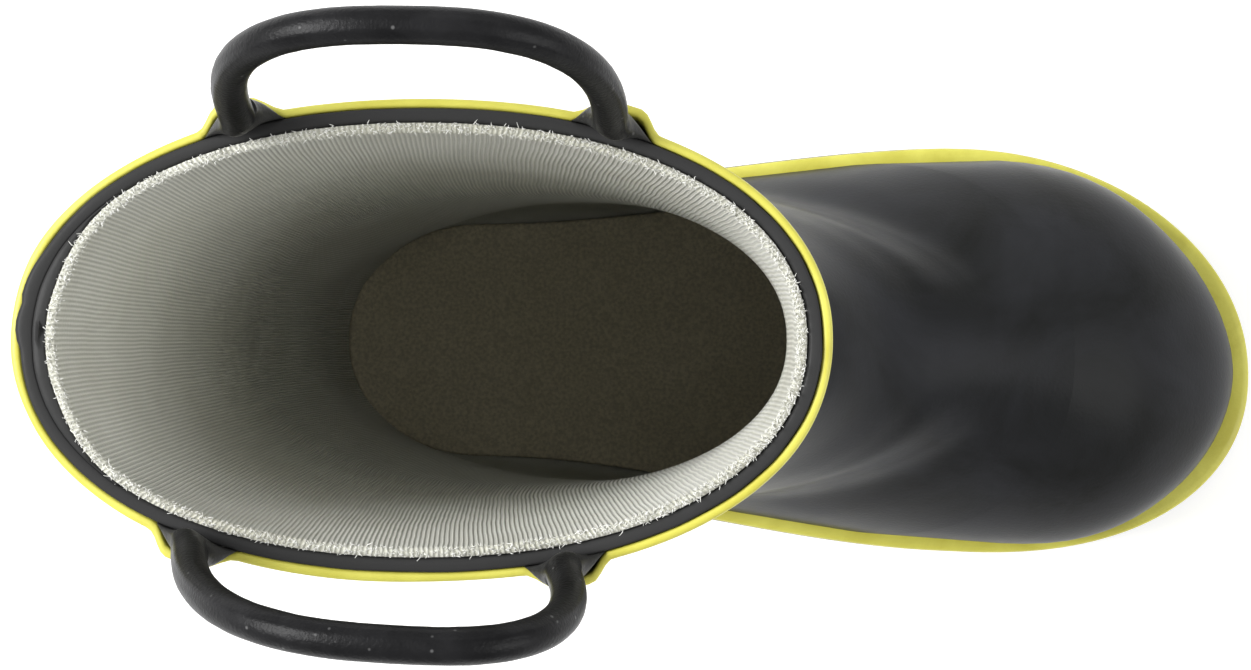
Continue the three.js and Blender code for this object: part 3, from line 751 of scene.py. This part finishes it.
rod = 5.0
rod_out, seam_height = 1.05, 0.14
tab_depth, tab_core, tab_half, tab_thick = 17.0, 1.8, 5.8, 2.6
loops = {
    "lateral": {"rear": 16.6, "front": 65.8, "lean": 16.5, "skew": 0.2, "side": 1, "seam": 32},
    "medial": {"rear": 10.2, "front": 59.5, "lean": 14.5, "skew": 5.4, "side": -1, "seam": 22},
}
hinge_z = 200.7
loop_height = 29.3
bend_low, bend_high = 197.2, 204.5


def root(loop, x, out=rod_out, z=shaft_height):
    """Where a leg of the loop stands, out millimetres outside the leg rubber."""
    row = shaft_row(min(1.0, (z - ankle_height) / (shaft_height - ankle_height)))
    middle, length = (row[0] + row[2]) / 2, (row[0] - row[2]) / 2
    return loop["side"] * (row[4] + out) * arch((x - middle) / (length + out), 2.15)


def swelling(away, z):
    """How thick a tab is at a distance from its middle, and so how far it lifts the band."""
    low = shaft_height - tab_depth
    return tab_thick * smooth(z, low - 4, low + 4) * (1 - smooth(away, tab_core, tab_half))


def arch_point(loop, share):
    """Centre line of the rod above its flex line, from rear foot to front foot."""
    turn = share * math.pi
    along = 0.5 - 0.5 * bent(math.cos(turn), 2 / 2.6)
    rise = max(0.0, math.sin(turn)) ** (2 / 2.6)
    lean = math.tan(math.radians(loop["lean"])) * loop["side"]
    x = mix(loop["rear"], loop["front"], along) + loop["skew"] * rise
    y = mix(root(loop, loop["rear"]), root(loop, loop["front"]), along) + loop_height * rise * lean
    return Vector((x, y, hinge_z + loop_height * rise))


rod_points, rod_steps = 36, 64
foot_levels = [178.6, 179.2, 181, 184, 187, 190, 193, 194.8]
foot_levels += [195.4, 196.0, 196.6, 197.4, 198.2, 199.0, 199.8, 200.4]


def foot_ring(loop, x, z, way):
    """Section of a foot: a flat lens that lies on the leg, rounding out into the rod."""
    rounding = smooth(z, 195.2, 199.4)
    tab_wide = (tab_half - 0.4) * smooth(z, 177.5, 182)
    wide = mix(tab_wide, rod / 2, smooth(z, 195.2, 199.8) ** 0.6)
    ring = []
    for j in range(rod_points):
        turn = 2 * math.pi * j / rod_points
        c, v = math.cos(turn), math.sin(turn)
        across = way * loop["side"] * c * wide
        thick = 0.1 + (0.9 * swelling(abs(across), z - 1) if v > 0 else 0)
        out = mix(thick, rod_out + v * rod / 2, rounding)
        ring.append(Vector((x + across, root(loop, x + across, out, z), z)))
    return ring


for side_name, loop in loops.items():
    rod_line = [arch_point(loop, i / rod_steps) for i in range(rod_steps + 1)]
    outward = Vector((0, loop["side"], -math.tan(math.radians(loop["lean"])))).normalized()
    rings = [foot_ring(loop, loop["rear"], z, -1) for z in foot_levels]
    for i, centre in enumerate(rod_line):
        way = (rod_line[min(i + 1, rod_steps)] - rod_line[max(i - 1, 0)]).normalized()
        across = way.cross(outward).normalized()
        face = across.cross(way).normalized()
        ring = []
        for j in range(rod_points):
            turn = 2 * math.pi * j / rod_points
            ripple = 0.05 * noise.noise(centre * 0.5 + Vector((j, 0, 0)))
            seam = seam_height if j == loop["seam"] else 0.0
            size = rod / 2 - 0.15 + seam + ripple
            ring.append(centre + (across * math.cos(turn) + face * math.sin(turn)) * size)
        rings.append(ring)
    rings += [foot_ring(loop, loop["front"], z, 1) for z in reversed(foot_levels)]
    piece = capped(loft(f"{side_name}_pull_loop", rings))
    for polygon in piece.data.polygons:
        polygon.use_smooth = True
    loop["piece"] = piece

loop_black, tree, shader, add = material("moulded loop rubber")
bloom = add("ShaderNodeGroup", node_tree=bloom_group)
bloom.inputs["Cloud Scale"].default_value = 160
bloom.inputs["Pit Scale"].default_value = 2200
places = add("ShaderNodeTexCoord").outputs["Object"]
specks = add("ShaderNodeTexVoronoi", {"Vector": places, "Scale": 380, "Randomness": 1}, feature="F1")
speck = add("ShaderNodeMapRange", {"Value": specks.outputs["Distance"], "From Min": 0.05,
                                   "From Max": 0.11, "To Min": 1, "To Max": 0})
loop_dark, loop_light = (0.006, 0.006, 0.0065), (0.014, 0.014, 0.015)
tone = ramp(add, bloom.outputs["Clouds"], (0.3, loop_dark), (0.7, loop_light))
heights = add("ShaderNodeSeparateXYZ", {"Vector": places}).outputs["Z"]
glue = add("ShaderNodeMapRange", {"Value": heights, "From Min": 0.1985, "From Max": 0.2015,
                                  "To Min": 0.3, "To Max": 0})
glue = add("ShaderNodeMath", {0: glue.outputs[0], 1: bloom.outputs["Clouds"]}, operation="MULTIPLY")
smeared = {0: glue.outputs[0], 6: tone, 7: (0.14, 0.14, 0.13, 1)}
smeared = add("ShaderNodeMix", smeared, data_type="RGBA").outputs[2]
dotted = {0: speck.outputs[0], 6: smeared, 7: (0.09, 0.09, 0.09, 1)}
dotted = add("ShaderNodeMix", dotted, data_type="RGBA").outputs[2]
bump = add("ShaderNodeBump", {"Height": bloom.outputs["Pits"], "Strength": 0.6, "Distance": 0.00012})
tree.links.new(dotted, shader.inputs["Base Color"])
tree.links.new(bump.outputs[0], shader.inputs["Normal"])
shader.inputs["Roughness"].default_value = 0.38
shader.inputs["Specular IOR Level"].default_value = 0.12
for side_name, loop in loops.items():
    piece = loop["piece"]
    piece.data.materials.append(loop_black)
    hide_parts(f"{side_name}_loop", f"{side_name}_rear_tab", f"{side_name}_front_tab")
    middle = (loop["rear"] + loop["front"]) / 2
    low = placed(Vector((middle, root(loop, middle), bend_low)))
    high = placed(Vector((middle, root(loop, middle), bend_high)))
    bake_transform(piece)

# ---------------------------------------------------------------------------------------
# Collar band. A strip of pale yellow rubber cemented round the top of the leg over the
# loops' tabs, so it swells over each tab and lies close to the leg between them.

band_points = 320
band_height, band_thick = 22.0, 1.5


def tab_swell(x, y, z):
    """How far the tab under the band pushes it out at a point."""
    loop = loops["lateral"] if y > 0 else loops["medial"]
    return swelling(min(abs(x - loop["rear"]), abs(x - loop["front"])), z)


def band_ring(out, z):
    """One ring of the band, out millimetres outside the leg, with a trace of handwork."""
    row = shaft_row((z - ankle_height) / (shaft_height - ankle_height))
    middle = (row[0] + row[2]) / 2
    length = (row[0] - row[2]) / 2
    ring = []
    for i in range(band_points):
        angle = 2 * math.pi * i / band_points
        u, v = (bent(turned, 2 / leg_roundness) for turned in (math.cos(angle), math.sin(angle)))
        swell = tab_swell(middle + length * u, row[4] * v, z)
        hand = 0.18 * noise.noise(Vector((u * 3, v * 3, z * 0.08)))
        reach = out + swell + hand * (out > 0.5)
        ring.append(Vector((middle + (length + reach) * u, (row[4] + reach) * v, z + 0.25 * hand)))
    return ring


band_top = shaft_height - 0.5
band_low = shaft_height - band_height
section = [(0.14, band_low), (1.0, band_low), (1.35, band_low + 0.3)]
section += [(band_thick, band_low + 1.0)]
section += [(band_thick, mix(band_low, band_top, share)) for share in (0.2, 0.35, 0.5, 0.65, 0.8)]
section += [(band_thick, band_top - 0.8), (1.38, band_top - 0.25), (1.05, band_top)]
section += [(0.5, band_top + 0.03), (0.16, band_top - 0.15)]
section += [(0.14, mix(band_top, band_low, share)) for share in (0.2, 0.4, 0.6, 0.8)]
band = loft("collar_band_strip", [band_ring(*row) for row in section + section[:1]])
band.data.materials.append(yellow)
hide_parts("collar_band")
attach(band, "boot")

# ---------------------------------------------------------------------------------------
# Insole. A soft foam sheet faced with dark cloth, cut a little smaller than the foot and
# laid in loose, so a dark gap shows round its heel.

insole_edge, insole_bottom, insole_top = 8.4, 5.5, 9.5


def insole_ring(inset, z_offset):
    """Outline of the insole, inset from its own edge, lying on the boot's inner bottom."""
    points = outline(insole_edge + inset, 0.0, 30, 20)
    for p in points:
        bed = row_bottom(p.x)
        cup = 1.2 * smooth(abs(p.y - sole_middle(p.x)), 14, 28)
        soft = 0.35 * noise.noise(Vector((p.x, p.y, 3)) * 0.06)
        p.z = bed + z_offset + (cup + soft) * (z_offset > 6.5)
    return points


def row_bottom(x):
    """Height of the form's bottom line under x."""
    for i in range(9, last_row):
        a, b = rows[i], rows[i + 1]
        if a[2] <= x <= b[2]:
            return mix(a[3], b[3], (x - a[2]) / (b[2] - a[2]))
    return 15.0 if x < 20 else mix(11.4, 11.0, smooth(x, 100, 131)) + 1.6 * smooth(x, 150, 187)


levels = [(1.0, insole_bottom), (0.2, 5.8), (0, 6.6), (0, 8.7), (0.15, 9.2), (0.6, 9.45)]
levels += [(2 + 3.2 * i, insole_top) for i in range(7)]
insole = capped(loft("loose_insole", [insole_ring(*level) for level in reversed(levels)]))
for polygon in insole.data.polygons:
    polygon.use_smooth = True
cloth, tree, shader, add = material("insole cloth")
places = add("ShaderNodeTexCoord").outputs["Object"]
thread = add("ShaderNodeTexNoise", {"Vector": places, "Scale": 1500, "Detail": 4}).outputs["Fac"]
stain = add("ShaderNodeTexNoise", {"Vector": places, "Scale": 30, "Detail": 4}).outputs["Fac"]
tone = ramp(add, stain, (0.3, (0.55, 0.50, 0.37)), (0.7, (0.66, 0.60, 0.46)))
fleck = ramp(add, thread, (0.35, (0.78, 0.78, 0.78)), (0.65, (1.1, 1.1, 1.1)))
tone = add("ShaderNodeMix", {0: 1.0, 6: tone, 7: fleck}, data_type="RGBA", blend_type="MULTIPLY")
bump = add("ShaderNodeBump", {"Height": thread, "Strength": 0.7, "Distance": 0.0002})
tree.links.new(tone.outputs[2], shader.inputs["Base Color"])
tree.links.new(bump.outputs[0], shader.inputs["Normal"])
shader.inputs["Roughness"].default_value = 0.95
shader.inputs["Sheen Weight"].default_value = 0.3
insole.data.materials.append(cloth)
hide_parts("insole_foam", "insole_cover")
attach(insole, "insole")

# ---------------------------------------------------------------------------------------
# Floor, light and camera. A plain white floor just under the tread, soft light mostly from
# the heel side, and a camera straight above the boot.

floor_bm = bmesh.new()
bmesh.ops.create_grid(floor_bm, x_segments=2, y_segments=2, size=3)
bmesh.ops.translate(floor_bm, verts=floor_bm.verts, vec=(0, 0, -0.3 * mm))
floor = finished("studio_floor", floor_bm, False)
white, tree, shader, add = material("pale floor")
shader.inputs["Base Color"].default_value = (0.7, 0.7, 0.7, 1)
shader.inputs["Roughness"].default_value = 0.9
shader.inputs["Emission Color"].default_value = (1, 1, 1, 1)
shader.inputs["Emission Strength"].default_value = 0.5
floor.data.materials.append(white)


def soft_light(name, place, size, power):
    """A round soft lamp aimed at the middle of the boot."""
    data = bpy.data.lights.new(name, "AREA")
    data.shape = "DISK"
    data.size = size
    data.energy = power
    lamp = bpy.data.objects.new(name, data)
    lamp.location = place
    lamp.rotation_euler = (Vector((0, 0, 0.1)) - Vector(place)).to_track_quat("-Z", "Y").to_euler()
    bpy.context.scene.collection.objects.link(lamp)


soft_light("heel_softbox", (-1.15, 0.2, 1.2), 0.9, 38)
soft_light("front_fill", (1.3, -0.3, 1.0), 1.0, 12)
soft_light("side_fill", (0.3, 1.3, 1.0), 0.9, 3)
bpy.context.scene.view_settings.view_transform = "Standard"
world = bpy.data.worlds.new("studio")
world.use_nodes = True
sky = world.node_tree
heading = sky.nodes.new("ShaderNodeTexCoord")
rise = sky.nodes.new("ShaderNodeSeparateXYZ")
glow = sky.nodes.new("ShaderNodeMapRange")
for key, value in (("From Min", 0.0), ("From Max", 0.9), ("To Min", 0.3), ("To Max", 0.52)):
    glow.inputs[key].default_value = value
sky.links.new(heading.outputs["Generated"], rise.inputs[0])
sky.links.new(rise.outputs["Z"], glow.inputs["Value"])
sky.links.new(glow.outputs[0], sky.nodes["Background"].inputs["Strength"])
sky.nodes["Background"].inputs["Color"].default_value = (1, 1, 1, 1)
bpy.context.scene.world = world

camera_data = bpy.data.cameras.new("camera")
camera_data.lens = 75.3
camera_data.sensor_width = 36
camera = bpy.data.objects.new("camera", camera_data)
camera.location = placed(Vector((76.2, 0, 544)))
camera.rotation_euler = (math.radians(0.11), math.radians(1.41), 0)
bpy.context.scene.collection.objects.link(camera)
bpy.context.scene.camera = camera
